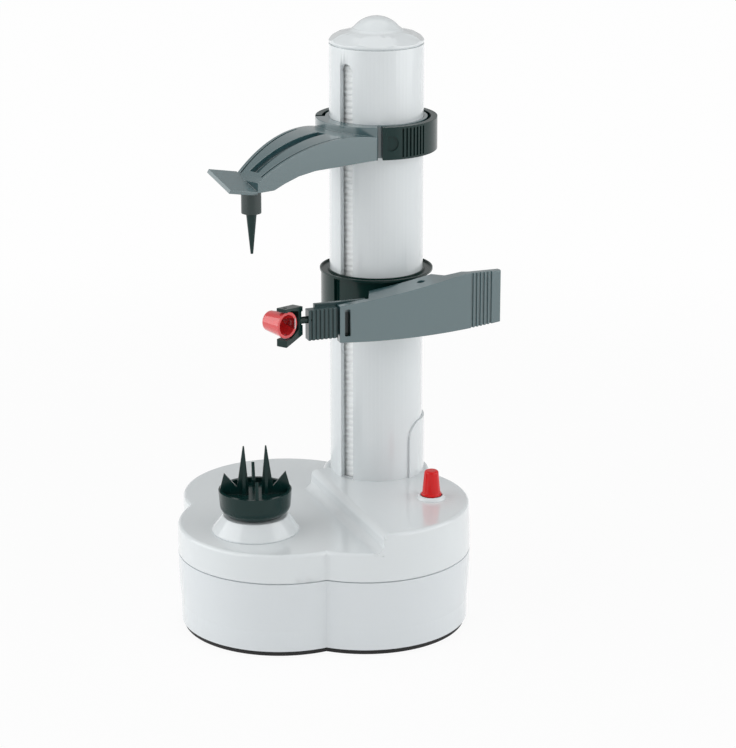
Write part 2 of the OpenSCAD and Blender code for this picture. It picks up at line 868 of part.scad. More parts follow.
module column() color(white_c) {
    difference() {
        union() {
            rod(col, column_r, high_deck_z, cap_seam_z);
            rod(col, column_r - over, high_deck_z - spigot_h, high_deck_z + over);
        }
        rod(col, column_r - column_wall, high_deck_z - spigot_h + foot_disc_t, cap_seam_z + over);
        rod(col, journal_r + fit, high_deck_z - spigot_h - over, high_deck_z);
        translate([col[0], col[1], 0]) rotate([0, 0, -slot_angle]) {
            translate([-slot_w / 2, -column_r - over, high_deck_z])
                cube([slot_w, column_r, slot_top_z - high_deck_z - slot_w / 2]);
            translate([0, 0, slot_top_z - slot_w / 2]) rotate([right_angle, 0, 0])
                cylinder(r = slot_w / 2, h = column_r + over);
        }
    }
}

// cap with a domed crown and a shoulder of eight flats
module column_cap() color(white_c) {
    z1 = shoulder_z + cap_shoulder_h;
    z2 = z1 + crown_rise;
    tilt = atan(cap_shoulder_h / cap_shoulder_in);
    flat_r = column_r * cos(half_turn / facets);
    translate([col[0], col[1], 0]) difference() {
        union() {
            intersection() {
                rod([0, 0], column_r, cap_seam_z + cap_groove, z2);
                union() {
                    rod([0, 0], column_r, cap_seam_z, z1);
                    translate([0, 0, z1])
                        cylinder(r1 = column_r - cap_shoulder_in, r2 = crown_r, h = crown_rise);
                }
            }
            rod([0, 0], column_r - cap_groove, cap_seam_z, z1 - over);
            rod([0, 0], column_r - column_wall - fit, cap_seam_z - plug_h, cap_seam_z + over);
            rotate_extrude() union() {
                intersection() {
                    translate([0, cap_seam_z + cap_h - dome_ball_r]) circle(r = dome_ball_r);
                    translate([0, z1 - over]) square([dome_r, cap_h]);
                }
                polygon([[0, z1], [crown_r, z1], [crown_r, z2], [dome_r - dome_foot / 2, z2 + dome_foot],
                    [0, z2 + dome_foot]]);
            }
        }
        for (i = [0:facets - 1]) rotate([0, 0, i * full_turn / facets])
            translate([0, -flat_r, shoulder_z]) rotate([tilt, 0, 0])
            translate([-column_r, -column_r, 0]) cube([2 * column_r, 2 * column_r, column_r]);
        rod([0, 0], journal_r + fit, cap_seam_z - plug_h - over, journal_top_z + gap);
    }
}

// thin cover round the back of the column's foot, with rounded upper corners
module rear_fairing() color(white_c) {
    ri = column_r + fit;
    zc = high_deck_z + fairing_h - fairing_corner_r;
    ca = fairing_half_angle - asin(fairing_corner_r / column_r);
    translate([col[0], col[1], 0]) union() {
        sector(ri + fairing_t, ri, high_deck_z, zc, fairing_mid, fairing_half_angle);
        sector(ri + fairing_t, ri, zc - over, zc + fairing_corner_r, fairing_mid, ca);
        for (s = [-1, 1]) intersection() {
            sector(ri + fairing_t, ri, zc - over, zc + fairing_corner_r, fairing_mid, fairing_half_angle);
            rotate([0, 0, fairing_mid + s * ca]) translate([0, 0, zc]) rotate([0, right_angle, 0])
                cylinder(r = fairing_corner_r, h = 2 * column_r);
        }
    }
}

// ---- start button

module button_bezel() color(white_c) {
    difference() {
        translate([button_x, button_y, high_deck_z])
            cylinder(r1 = bezel_r, r2 = bezel_top_r, h = bezel_h);
        rod([button_x, button_y], cap_flange_r + gap, high_deck_z - over, high_deck_z + bezel_h + over);
    }
}

module start_button() color(red_c) {
    z1 = button_z + cap_total_h;
    translate([button_x, button_y, 0]) union() {
        rotate_extrude() union() {
            polygon([[0, button_z + cap_flange_t / 2], [cap_base_r, button_z + cap_flange_t / 2],
                [cap_top_r, z1 - cap_round], [cap_top_r - cap_round, z1], [0, z1]]);
            translate([cap_top_r - cap_round, z1 - cap_round]) circle(r = cap_round);
            translate([0, button_z]) square([cap_flange_r, cap_flange_t]);
        }
        rod([0, 0], stem_r, stem_low_z, button_z + over / 2);
        rod([0, 0], stem_r + over / 2, stem_low_z, clip_z);
    }
}

module button_spring() color(steel_c) {
    n = 4;
    wire = 0.3;
    z0 = high_deck_z - recess_h + wire;
    z1 = button_z - wire;
    translate([button_x, button_y, 0]) union() {
        for (i = [0:n - 1]) translate([0, 0, z0 + i * (z1 - z0) / (n - 1)])
            coil(stem_r + 2 * wire, wire);
        for (a = [0, half_turn]) rotate([0, 0, a])
            translate([stem_r + 2 * wire, 0, z0]) cylinder(r = wire, h = z1 - z0, $fn = 24);
    }
}

module micro_switch() color(black_c) {
    translate([button_x - switch_l / 2, button_y - switch_w / 2, switch_z])
        cube([switch_l, switch_w, switch_h]);
}

// ---- lower carriage

// frame of the peeling arm: s along its face, t into its depth
module arm_frame() translate([arm_x, arm_y, 0]) rotate([0, 0, arm_angle]) children();

module carriage_ring() color(dark_c) {
    difference() {
        union() {
            translate([col[0], col[1], 0]) rotate_extrude() union() {
                translate([column_r + slide_fit, ring_z])
                    square([ring_r - column_r - slide_fit, ring_h]);
                translate([column_r + 2 * slide_fit, ring_z + ring_h - 2 * ring_lip])
                    square([ring_back_r + ring_lip - column_r - 2 * slide_fit, 2 * ring_lip]);
            }
            translate([col[0], col[1], 0]) sector(ring_back_r, ring_r - over, ring_z,
                ring_z + ring_h - ring_lip, -right_angle - ring_edge_angle - ring_back_angle / 2,
                ring_back_angle / 2);
            difference() {
                union() {
                    rod(pivot, lug_r, lug_z, lug_z + lug_h);
                    arm_frame() translate([pivot_s - lug_r + ring_lip, pivot_t, lug_z + ring_lip])
                        cube([2 * lug_r - 2 * ring_lip, lug_in, lug_h - 2 * ring_lip]);
                }
                rod(col, ring_r - ring_lip, lug_z - over, lug_z + lug_h + over);
            }
        }
        rod(pivot, pin_r + fit, lug_z - over, lug_z + lug_h + over);
        translate([col[0], col[1], 0]) rotate([0, 0, -slot_angle])
            translate([-nut_w / 2, -nut_out_r, ring_z + nut_up])
            cube([nut_w, nut_out_r - column_r + over, nut_h]);
    }
}

// half nut that reaches through the column's slot to the screw
module half_nut() color(white_c) {
    difference() {
        translate([col[0], col[1], 0]) rotate([0, 0, -slot_angle]) union() {
            translate([-nut_w / 2, -nut_out_r, ring_z + nut_up])
                cube([nut_w, nut_out_r - screw_r + over, nut_h]);
        }
        rod(col, nut_bore_r, ring_z, ring_z + ring_h);
    }
}

// arm that carries the blade, its plan drawn in the arm's frame
module peeling_arm() color(dark_c) {
    z0 = arm_low_z - arm_belly;
    z1 = arm_low_z + plate_h + plate_rise;
    difference() {
        arm_frame() difference() {
            intersection() {
                union() {
                    translate([0, 0, z0]) linear_extrude(height = z1 - z0) polygon([
                        [arm_s0, 0], [arm_s1, 0], [arm_s1, arm_end_t],
                        [arm_deep_s1 + arm_end_t, arm_deep / 2], [arm_deep_s1, arm_deep],
                        [arm_deep_s0, arm_deep], [arm_deep_s0 - arm_end_t, arm_thin],
                        [arm_s0, arm_thin]]);
                    translate([arm_s1 - over / 2, 0, z0]) cube([grip_len, arm_end_t, z1 - z0]);
                    translate([arm_s1 + grip_len - grip_bulge, arm_end_t / 2, z0]) intersection() {
                        cylinder(r = 2 * grip_bulge, h = z1 - z0);
                        translate([0, -arm_end_t / 2, 0])
                            cube([2 * grip_bulge, arm_end_t, z1 - z0]);
                    }
                }
                translate([arm_belly_s, -over, z0 + arm_belly_r]) rotate([-right_angle, 0, 0])
                    cylinder(r = arm_belly_r, h = arm_deep + 2 * over, $fn = 2 * full_turn);
            }
            translate([-arm_curve_s, -over, z1 + arm_curve_r - arm_top_drop])
                rotate([-right_angle, 0, 0])
                cylinder(r = arm_curve_r, h = arm_deep + 2 * over, $fn = 2 * full_turn);
            translate([arm_slot_s, -over, arm_low_z + arm_slot_in])
                cube([arm_slot_w, arm_slot_d + over, plate_h - 2 * arm_slot_in]);
            for (i = [0:grip_ribs - 1])
                translate([arm_s1 + grip_rib_s + i * grip_rib_step, -over, z0 - over])
                cube([grip_rib_w, grip_rib_d + over, z1 - z0 + 2 * over]);
            translate([arm_deep_s0 + arm_wall, arm_wall, z0 - over])
                cube([pivot_s - lug_r - arm_deep_s0 - 3 * arm_wall, arm_deep - 2 * arm_wall,
                    plate_h - arm_wall + arm_low_z - z0 + over]);
            translate([pivot_s + lug_r + arm_wall, arm_wall, z0 - over])
                cube([arm_wall, arm_wall, plate_h - arm_wall + arm_low_z - z0 + over]);
            translate([pivot_s - lug_r - arm_wall, arm_wall, lug_z - gap])
                cube([2 * lug_r + 3 * arm_wall, arm_deep, lug_h + gap + spring_room]);
        }
        rod(pivot, pin_r, arm_low_z, z1);
    }
}

module arm_pin() color(steel_c) rod(pivot, pin_r, arm_low_z, arm_low_z + plate_h + over);

// torsion spring round the pin, between the lug and the arm's upper ear
module arm_spring() color(steel_c) {
    low = lug_z + lug_h + 2 * spring_wire;
    translate([pivot[0], pivot[1], 0]) {
        for (i = [0:3]) translate([0, 0, low + i * 2 * spring_wire])
            coil(pin_r + 2 * spring_wire, spring_wire);
    }
}

module blade_slider() color(dark_c) arm_frame() {
    difference() {
        translate([slider_s0, 0, slider_z]) cube([slider_s1 - slider_s0, slider_t, slider_h]);
        for (i = [0:slider_ribs - 1])
            translate([slider_s0 + (i + 1 / 2) * (slider_s1 - slider_s0) / slider_ribs, -over,
                slider_z - over])
            cube([slider_rib_w, slider_rib_d + over, slider_h + 2 * over]);
        translate([slider_s0 - over, rod_t, rod_z]) rotate([0, right_angle, 0])
            cylinder(r = rod_r + fit, h = rod_in + over);
    }
    translate([tongue_s0, slider_t, slider_z]) cube([tongue_s1 - tongue_s0, tongue_t, tongue_h]);
}

// ---- blade head, in the arm's frame

// frame of the yoke: its pivot at the origin, the way to the rod along X
module yoke_frame() arm_frame() translate([head_s, head_side, 0]) rotate([0, 0, yoke_angle]) children();

// side view of the yoke: two tapered lugs and the web between them
module yoke_side() {
    z = rod_z;
    w0 = -yoke_wide / 2;
    polygon([[w0, z + head_room], [yoke_flat, z + head_room], [yoke_end, z + yoke_top_in],
        [yoke_end, z + yoke_top_end], [w0, z + yoke_top]]);
    polygon([[w0, z - head_room], [yoke_flat, z - head_room], [yoke_end, z - yoke_low_in],
        [yoke_end, z - yoke_low_end], [w0, z - yoke_low]]);
    translate([yoke_web_w - yoke_web_t / 2, z - yoke_low_end])
        square([yoke_web_t, yoke_low_end + yoke_top_in + over]);
}

module blade_yoke() color(black_c) difference() {
    union() {
        yoke_frame() rotate([right_angle, 0, 0]) translate([0, 0, -yoke_wide / 2])
            linear_extrude(height = yoke_wide) yoke_side();
        arm_frame() translate([web_s, rod_t, rod_z]) rotate([0, right_angle, 0])
            cylinder(r = rod_r, h = slider_s0 + rod_in - gap - web_s);
    }
    yoke_frame() translate([0, 0, rod_z - yoke_low - over])
        cylinder(r = blade_pin_r, h = yoke_low + yoke_top + 2 * over);
}

module yoke_pin() color(steel_c) yoke_frame()
    translate([0, 0, rod_z - yoke_low + over])
        cylinder(r = blade_pin_r, h = yoke_low + yoke_top - 2 * over);

// frame of the blade holder: its axis lies level, the mouth at positive X
module head_frame() arm_frame() translate([head_s, head_side, rod_z]) rotate([0, 0, -thimble_angle])
    children();

module blade_holder() color(red_c) head_frame() difference() {
    rotate([0, right_angle, 0]) rotate_extrude() difference() {
        union() {
            polygon([[0, -thimble_back], [thimble_small_r - thimble_round, -thimble_back],
                [thimble_small_r, thimble_round - thimble_back], [thimble_r, thimble_mouth],
                [0, thimble_mouth]]);
            translate([thimble_small_r - thimble_round, thimble_round - thimble_back])
                circle(r = thimble_round);
        }
        polygon([[-over, thimble_wall - thimble_back],
            [thimble_small_r - thimble_wall, thimble_wall - thimble_back],
            [thimble_r - thimble_wall, thimble_mouth + over], [-over, thimble_mouth + over]]);
        translate([-2 * thimble_r, -2 * thimble_back]) square([2 * thimble_r, 4 * thimble_back]);
    }
    translate([0, 0, -2 * thimble_r]) cylinder(r = blade_pin_r + fit, h = 4 * thimble_r);
    translate([-blade_back, blade_side, -blade_w / 2])
        cube([blade_back + blade_front + over, blade_t, blade_w]);
}

module blade() color(steel_c) head_frame() difference() {
    translate([-blade_back, blade_side, -blade_w / 2])
        cube([blade_back + blade_front, blade_t, blade_w]);
    translate([-over, blade_side - over, -blade_w / 4])
        cube([over, blade_t + 2 * over, blade_w / 2]);
}

// ---- upper arm

module reach_frame() translate([col[0], col[1], 0]) rotate([0, 0, reach_angle + half_turn]) children();

// region above the arm's top curve, lowered by a depth
module above_arch(depth) difference() {
    translate([arm_root - over, collar_z - collar_h]) square([reach, 3 * collar_h]);
    translate([arch_s, collar_z + arch_top - arch_r]) circle(r = arch_r - depth, $fn = full_turn);
}

// side view of the arm, drawn along its length
module arm_side() {
    difference() {
        polygon(concat([[arm_root, collar_z], [arm_root, collar_z + collar_h],
            [arm_tip, collar_z + collar_h], [arm_tip, collar_z - under_h]],
            [for (i = [3:-1:0]) [reach - under_backs[i], collar_z - under_drops[i]]]));
        above_arch(0);
    }
}

// side view shape given a width across the arm
module across(w) translate([0, w / 2, 0]) rotate([right_angle, 0, 0])
    linear_extrude(height = w) children();

// shallow groove near one long side of the arm's top
module side_groove(side) {
    slope = (arm_root_w - tip_half_w) / (arm_tip - arm_root);
    w0 = arm_root_w - (side_groove_s0 - arm_root) * slope - side_groove_in;
    w1 = arm_root_w - (reach - arm_root) * slope - side_groove_in;
    intersection() {
        translate([0, 0, collar_z - collar_h]) linear_extrude(height = 3 * collar_h)
            polygon([[side_groove_s0, side * w0], [reach, side * w1],
                [reach, side * (w1 - side_groove_w)], [side_groove_s0, side * (w0 - side_groove_w)]]);
        across(2 * reach) above_arch(side_groove_d);
    }
}

module upper_arm() color(dark_c) difference() {
    union() {
        reach_frame() intersection() {
            across(2 * reach) arm_side();
            translate([0, 0, collar_z - 2 * collar_h]) linear_extrude(height = 4 * collar_h)
                polygon([[arm_root, -arm_root_w], [arm_tip, -tip_half_w], [arm_tip, tip_half_w],
                    [arm_root, arm_root_w]]);
        }
        reach_frame() sector(collar_r, column_r + slide_fit, collar_z, collar_z + collar_h, 0,
            collar_half_angle);
        reach_frame() sector(hub_out_r, column_r + slide_fit, collar_z, collar_z + collar_h,
            half_turn, half_turn - collar_half_angle + over);
        reach_frame() translate([arm_tip - wing_back, 0, collar_z - wing_drop])
            rotate([wing_roll_angle, wing_pitch_angle, 0])
            translate([0, -wing_half_w, -wing_t]) cube([wing_len, 2 * wing_half_w, wing_t]);
        rod(food, boss_r, boss_low_z, collar_z - under_h + over);
    }
    rod(col, column_r + slide_fit, collar_z - over, collar_z + collar_h + over);
    reach_frame() intersection() {
        across(groove_w) above_arch(groove_d);
        translate([groove_s0, -groove_w, collar_z - collar_h])
            cube([reach - groove_s0 - groove_end, 2 * groove_w, 3 * collar_h]);
    }
    for (side = [-1, 1]) reach_frame() side_groove(side);
    rod(food, spike_pin_r + fit, boss_low_z - over, boss_low_z + spike_top_up + gap);
    rod(food, spike_pin_r + spike_snap + gap, boss_low_z + spike_snap_up - gap,
        boss_low_z + spike_snap_up + spike_snap_t + gap);
}

module collar_grip() color(dark_c) reach_frame() difference() {
    sector(collar_r, grip_in_r, collar_z, collar_z + collar_h, half_turn, grip_half_angle);
    for (s = [-1, 1]) for (i = [0:grip_ribs_n - 1])
        rotate([0, 0, s * (grip_rib_angle + i * grip_step_angle)])
        translate([collar_r - grip_rib_d, -grip_rib_w / 2, collar_z + over])
        cube([2 * grip_rib_d, grip_rib_w, collar_h - 2 * over]);
    for (s = [-1, 1]) rotate([0, 0, s * grip_dent_angle])
        translate([collar_r - grip_dent_d, 0, collar_z + collar_h / 2]) rotate([0, right_angle, 0])
        intersection() {
            cylinder(r = grip_dent_r, h = 2 * grip_dent_d);
            translate([-grip_dent_r, -grip_dent_r / 2, 0])
                cube([2 * grip_dent_r, 2 * grip_dent_r, 2 * grip_dent_d]);
        }
}

// leaf spring between the hub and the grip, drawn as it lies when the grip is pressed
module grip_spring() color(steel_c) reach_frame()
    sector(hub_out_r + leaf_t, hub_out_r, collar_z + leaf_in, collar_z + collar_h - leaf_in, half_turn,
        leaf_half_angle);

module top_spike() color(dark_c) union() {
    rod(food, spike_pin_r, boss_low_z - gap - over, boss_low_z + spike_top_up);
    rod(food, spike_pin_r + spike_snap, boss_low_z + spike_snap_up,
        boss_low_z + spike_snap_up + spike_snap_t);
    translate([food[0], food[1], boss_low_z - gap - spike_len])
        cylinder(r1 = spike_r / 4, r2 = spike_r, h = spike_len);
}

/* [Drawing] */
// piece to draw, or all of them

foot_pad();
lower_housing();
upper_housing();
battery_door();
cell_1();
cell_2();
cell_3();
cell_4();
contact_left();
contact_right();
gear_shelf();
shelf_screws();
housing_screws();
motor();
motor_shaft();
motor_pinion();
cluster_gear();
cluster_axle();
idler_gear();
idler_axle();
holder_gear();
holder_shaft();
screw_gear();
lead_screw();
cone_seat();
food_holder();
column();
column_cap();
rear_fairing();
button_bezel();
start_button();
button_spring();
micro_switch();
carriage_ring();
half_nut();
peeling_arm();
arm_pin();
arm_spring();
blade_slider();
blade_yoke();
yoke_pin();
blade_holder();
blade();
upper_arm();
collar_grip();
grip_spring();
top_spike();
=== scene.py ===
import json
import math
import bpy
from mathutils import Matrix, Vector


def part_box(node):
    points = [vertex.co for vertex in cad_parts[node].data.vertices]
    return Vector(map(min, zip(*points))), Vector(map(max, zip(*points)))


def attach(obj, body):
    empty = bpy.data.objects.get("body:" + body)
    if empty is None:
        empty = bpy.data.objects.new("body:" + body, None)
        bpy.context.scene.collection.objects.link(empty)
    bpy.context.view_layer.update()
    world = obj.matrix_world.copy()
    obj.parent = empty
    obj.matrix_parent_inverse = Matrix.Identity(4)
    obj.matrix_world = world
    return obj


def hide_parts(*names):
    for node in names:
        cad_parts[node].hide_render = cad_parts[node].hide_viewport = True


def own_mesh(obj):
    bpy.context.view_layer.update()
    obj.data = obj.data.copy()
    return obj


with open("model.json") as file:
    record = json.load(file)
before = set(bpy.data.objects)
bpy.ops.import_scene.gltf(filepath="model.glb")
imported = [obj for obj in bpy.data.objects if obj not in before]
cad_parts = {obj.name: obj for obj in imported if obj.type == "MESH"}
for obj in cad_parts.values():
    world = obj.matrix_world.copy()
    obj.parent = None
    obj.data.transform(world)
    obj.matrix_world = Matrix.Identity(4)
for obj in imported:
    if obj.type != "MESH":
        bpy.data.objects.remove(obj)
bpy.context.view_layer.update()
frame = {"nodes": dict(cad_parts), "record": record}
MM = 0.001


# Sizes, in metres, in the shared frame

def middle(name):
    """Plan centre of a node, on the floor."""
    low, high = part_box(name)
    return Vector(((low[0] + high[0]) / 2, (low[1] + high[1]) / 2, 0.0))


COLUMN = middle("column")
PIVOT = middle("arm_pin")
BUTTON = middle("start_button")
DOUBLE = 2e-6

# The peeling arm's window, measured along the arm, into it and up, where painted shade darkens the plastic
ARM_TURN = math.radians(20.3)
ARM_START = Vector((7.0, -25.0, 0.0)) * MM
ARM_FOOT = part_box("peeling_arm")[0][2]
SLOT_OFFSET = 4.55 * MM
SLOT_ALONG = ARM_START.x * math.cos(ARM_TURN) + ARM_START.y * math.sin(ARM_TURN) + SLOT_OFFSET
SLOT_FACE = ARM_START.y * math.cos(ARM_TURN) - ARM_START.x * math.sin(ARM_TURN)
SLOT_WIDE = 2.7 * MM
SLOT_LIP = 0.25 * MM
SLOT_DEEP = 3.4 * MM
SLOT_LOW = ARM_FOOT + 2.2 * MM
SLOT_HIGH = ARM_FOOT + 15.4 * MM

# The boss under the upper arm's tip, and the zone where its painted shade fades out
BOSS_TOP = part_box("upper_arm")[0][2] + 11.1 * MM
BOSS_FADE_BELOW = 1.2 * MM
BOSS_FADE_ABOVE = 0.4 * MM

# The screw in the column, with the land, flank and crest of one turn of its thread
SCREW_LOW = 58.3 * MM
SCREW_HIGH = 268.7 * MM
SCREW_PITCH = 3.0 * MM
THREAD_DEPTH = 0.35 * MM
THREAD_LAND = 0.35 * MM
THREAD_FLANK = 0.6 * MM
THREAD_CREST = 1.1 * MM
THREAD_DOUBLE = 6e-6
SCREW_STEPS = 64
SCREW_SPARE_TURNS = 4

# The springs, the blade holder's pins and the copper band of a cell
SPRING_STEPS = 20
SPRING_ROUNDNESS = 3
SPRING_DEAD_END = 0.06
BUTTON_COIL = {"radius": 2.8 * MM, "wire": 0.28 * MM, "inset": 0.3 * MM, "turns": 4}
ARM_COIL = {"radius": 2.58 * MM, "wire": 0.36 * MM, "inset": 0.4 * MM, "turns": 3.5}
PIN_GAP = 10.0 * MM
PIN_SIDES = 48
PIN_EDGE, PIN_EDGE_SEGMENTS = 0.15, 2
CELL_BAND_END = -26.0 * MM
CELL_BAND_FADE = 0.6 * MM

# Edge widths in millimetres, with the segments that round each edge
ROUNDED = (
    ("foot_pad", 0.3, 2), ("column_cap", 0.5, 3), ("rear_fairing", 0.3, 2), ("cone_seat", 0.3, 2),
    ("food_holder", 0.15, 2), ("button_bezel", 0.3, 3), ("start_button", 0.25, 2),
    ("carriage_ring", 0.15, 2), ("peeling_arm", 0.3, 2), ("blade_slider", 0.12, 2),
    ("blade_yoke", 0.25, 2), ("blade_holder", 0.3, 3), ("upper_arm", 0.25, 2),
    ("collar_grip", 0.15, 2), ("top_spike", 0.3, 3), ("half_nut", 0.2, 2), ("battery_door", 0.3, 2),
)
FULL_EDGES = (
    "upper_arm", "peeling_arm", "blade_slider", "blade_yoke", "food_holder", "collar_grip", "carriage_ring",
)
EDGE_ANGLE = 32.0
FLAT_ANGLE = 0.6
ROUNDED_SMOOTH = 38.0
PLAIN_SMOOTH = 30.0
WIRE_SMOOTH = 60.0
FLAT_FACE_WEIGHT = 50
SHELLS = (("upper_housing", 30.0), ("lower_housing", 12.0), ("column", 30.0))

# The ring's groove: rim and depth in millimetres
GROOVE_OF = {"carriage_ring": (0.85, 0.8)}
LEVEL_NORMAL = 0.999
LEVEL_ROOM = 0.01 * MM

# Grain of the surfaces: scale is in waves per metre
FLOW = {"scale": 14.0, "detail": 3.0, "rough": 0.55}
SCUFF = {"scale": 120.0, "detail": 6.0, "rough": 0.7}
SWELL = {"scale": 45.0, "detail": 1.0, "rough": 0.4}
RUBBER_GRAIN = {"scale": 1800.0, "detail": 3.0, "rough": 0.6}
BRUSHING = {"scale": 700.0, "detail": 4.0, "rough": 0.6}
TARNISH = {"scale": 60.0, "detail": 3.0, "rough": 0.5}
SLEEVE_GRAIN = {"scale": 1200.0, "detail": 2.0, "rough": 0.5}
FINE_BUMP = 0.2 * MM
RUBBER_BUMP = 0.3 * MM
MOULD_BUMP = 0.4 * MM

# How strongly the grain of moulded plastic and of metal shows
FLOW_IN_TONE, SPECK_IN_TONE = 0.75, 0.25
FLOW_IN_ROUGH, SCUFF_IN_ROUGH, MOULD_ROUGH_DROP = 0.05, 0.10, 0.02
SCUFF_FROM, SCUFF_TO = 0.5, 0.8
SCUFF_STRETCH = (1, 1, 0.25)
SPECK_IN_BUMP, SWELL_IN_BUMP = 0.4, 0.6
LINES_IN_TONE, TARNISH_IN_TONE = 0.6, 0.4
LINES_IN_ROUGH, METAL_ROUGH_DROP = 0.16, 0.06
METAL_RIPPLE = 0.15

# Floor, lamps, world and camera
FLOOR_SIZE = 8.0
FLOOR_DROP = 0.2 * MM
FLOOR_NEAR, FLOOR_FAR = 0.03, 0.5
FLOOR_GLOW = 0.995
FLOOR_GLOW_NEAR, FLOOR_GLOW_GAIN = 0.93, 0.06
SOFTBOXES = (
    {"name": "left_softbox", "at": (-1.2, -0.3, 0.5), "aim": (0, 0, 0.15),
     "width": 1.9, "height": 1.6, "power": 15.5},
    {"name": "right_softbox", "at": (1.1, -0.35, 0.45), "aim": (0, 0, 0.15),
     "width": 1.5, "height": 1.3, "power": 9.0},
    {"name": "top_softbox", "at": (0.0, 0.1, 1.4), "aim": (0, 0, 0.1),
     "width": 1.4, "height": 1.3, "power": 4.8},
    {"name": "front_softbox", "at": (0.5, -1.6, 0.5), "aim": (0, 0, 0.15),
     "width": 0.5, "height": 0.6, "power": 0.8},
)
WORLD_DIM, WORLD_GAIN, WORLD_IN_GLOSS = 0.3, 0.7, 0.3
CAMERA_AT = (0.02163, -1.2293, 0.5039)
CAMERA_TILT, CAMERA_TURN = 72.6, -0.02
CAMERA_LENS, CAMERA_SENSOR, CAMERA_NEAR = 128.15, 36.0, 0.05


# Shader expressions

class Wire:
    """A shader socket that numbers and other sockets can be added to or multiplied by."""

    def __init__(self, tree, socket):
        self.tree = tree
        self.socket = socket

    def _math(self, operation, *values, clamp=False):
        node = self.tree.nodes.new("ShaderNodeMath")
        node.operation = operation
        node.use_clamp = clamp
        for i, value in enumerate(values):
            if isinstance(value, Wire):
                self.tree.links.new(value.socket, node.inputs[i])
            else:
                node.inputs[i].default_value = value
        return Wire(self.tree, node.outputs[0])

    def __add__(self, other):
        return self._math("ADD", self, other)

    def __sub__(self, other):
        return self._math("SUBTRACT", self, other)

    def __rsub__(self, other):
        return self._math("SUBTRACT", other, self)

    def __mul__(self, other):
        return self._math("MULTIPLY", self, other)

    def clamped(self):
        return self._math("ADD", self, 0.0, clamp=True)

    def over(self, limit):
        return self._math("GREATER_THAN", self, limit)

    def smooth(self, low, high):
        node = self.tree.nodes.new("ShaderNodeMapRange")
        node.interpolation_type = "SMOOTHSTEP"
        self.tree.links.new(self.socket, node.inputs["Value"])
        node.inputs["From Min"].default_value = low
        node.inputs["From Max"].default_value = high
        return Wire(self.tree, node.outputs["Result"])


class Finish:
    """A material on one Principled shader, filled in by expressions."""

    def __init__(self, name, **constants):
        self.material = bpy.data.materials.new(name)
        self.material.use_nodes = True
        self.tree = self.material.node_tree
        self.shader = self.tree.nodes["Principled BSDF"]
        for socket, value in constants.items():
            self.shader.inputs[socket.replace("_", " ")].default_value = value
        self.material.diffuse_color = self.shader.inputs["Base Color"].default_value

    def node(self, kind, settings=None, **inputs):
        """A new node. Its inputs go by name, with _ for a space, or by number, as i0 or i6."""
        made = self.tree.nodes.new(kind)
        for key, value in (settings or {}).items():
            setattr(made, key, value)
        for key, value in inputs.items():
            numbered = key[0] == "i" and key[1:].isdigit()
            socket = made.inputs[int(key[1:]) if numbered else key.replace("_", " ")]
            if isinstance(value, Wire):
                self.tree.links.new(value.socket, socket)
            else:
                socket.default_value = value
        return made

    def out(self, made, name=0):
        return Wire(self.tree, made.outputs[name])

    def place(self, scale=(1, 1, 1), turn=(0, 0, 0)):
        where = self.out(self.node("ShaderNodeTexCoord"), "Object")
        return self.out(self.node("ShaderNodeMapping", Vector=where, Scale=scale, Rotation=turn))

    def axes(self, turn=(0, 0, 0)):
        """The place as three separate wires, X, Y and Z."""
        at = self.node("ShaderNodeSeparateXYZ", Vector=self.place(turn=turn))
        return self.out(at, "X"), self.out(at, "Y"), self.out(at, "Z")

    def noise(self, scale, detail, rough, where=None):
        where = where or self.place()
        made = self.node("ShaderNodeTexNoise", Vector=where, Scale=scale, Detail=detail, Roughness=rough)
        return self.out(made, "Fac")

    def blend(self, factor, low, high):
        made = self.node("ShaderNodeMix", {"data_type": "RGBA"}, i0=factor, i6=low, i7=high)
        return self.out(made, 2)

    def set(self, name, value):
        self.tree.links.new(value.socket, self.shader.inputs[name])

    def bump(self, height, strength, distance):
        made = self.node("ShaderNodeBump", Height=height, Strength=strength, Distance=distance)
        self.set("Normal", self.out(made, "Normal"))


def tone(r, g, b):
    """An 8-bit sRGB colour as Blender's linear one."""
    def line(v):
        v /= 255
        return v / 12.92 if v <= 0.04045 else ((v + 0.055) / 1.055) ** 2.4
    return (line(r), line(g), line(b), 1.0)


# Materials

# Lit tones of the slate plastic: lighter than its own dark green, as painted sheen on the arms' broad flat
# faces.
ARM_SHEEN_TONES = (tone(50, 88, 94), tone(43, 80, 85))
# Painted shade: the dark tone laid where a slate piece lies in a pocket or under a boss.
PAINTED_SHADE_TONE = tone(4, 36, 34)


def moulded(name, light, dark, rough, coat=0.5, specular=0.5, ripple=0.05, grain=900.0, coat_ior=1.5,
            coat_rough=0.06, shade=None):
    """Injection moulded plastic: slow flow marks, faint surface ripple and fine scuffs.

    shade gives the part of a piece that lies deep, where painted shade makes the plastic dark and takes away
    its gloss.
    """
    f = Finish(name, Base_Color=light, Roughness=rough, Coat_Weight=coat, Coat_Roughness=coat_rough,
               Coat_IOR=coat_ior, Specular_IOR_Level=specular)
    flow = f.noise(**FLOW)
    speck = f.noise(scale=grain, detail=2.0, rough=0.6)
    colour = f.blend((flow * FLOW_IN_TONE + speck * SPECK_IN_TONE).clamped(), dark, light)
    if shade:
        # Painted shade: where the mask is set, the colour goes to the painted shade tone and the coat falls
        # away.
        deep = shade(f)
        colour = f.blend(deep, colour, PAINTED_SHADE_TONE)
        f.set("Coat Weight", coat - deep * coat)
    f.set("Base Color", colour)
    scuff = f.noise(**SCUFF, where=f.place(scale=SCUFF_STRETCH)).smooth(SCUFF_FROM, SCUFF_TO)
    f.set("Roughness", (scuff * SCUFF_IN_ROUGH + flow * FLOW_IN_ROUGH + (rough - MOULD_ROUGH_DROP)).clamped())
    f.bump(speck * SPECK_IN_BUMP + f.noise(**SWELL) * SWELL_IN_BUMP, ripple, MOULD_BUMP)
    return f.material


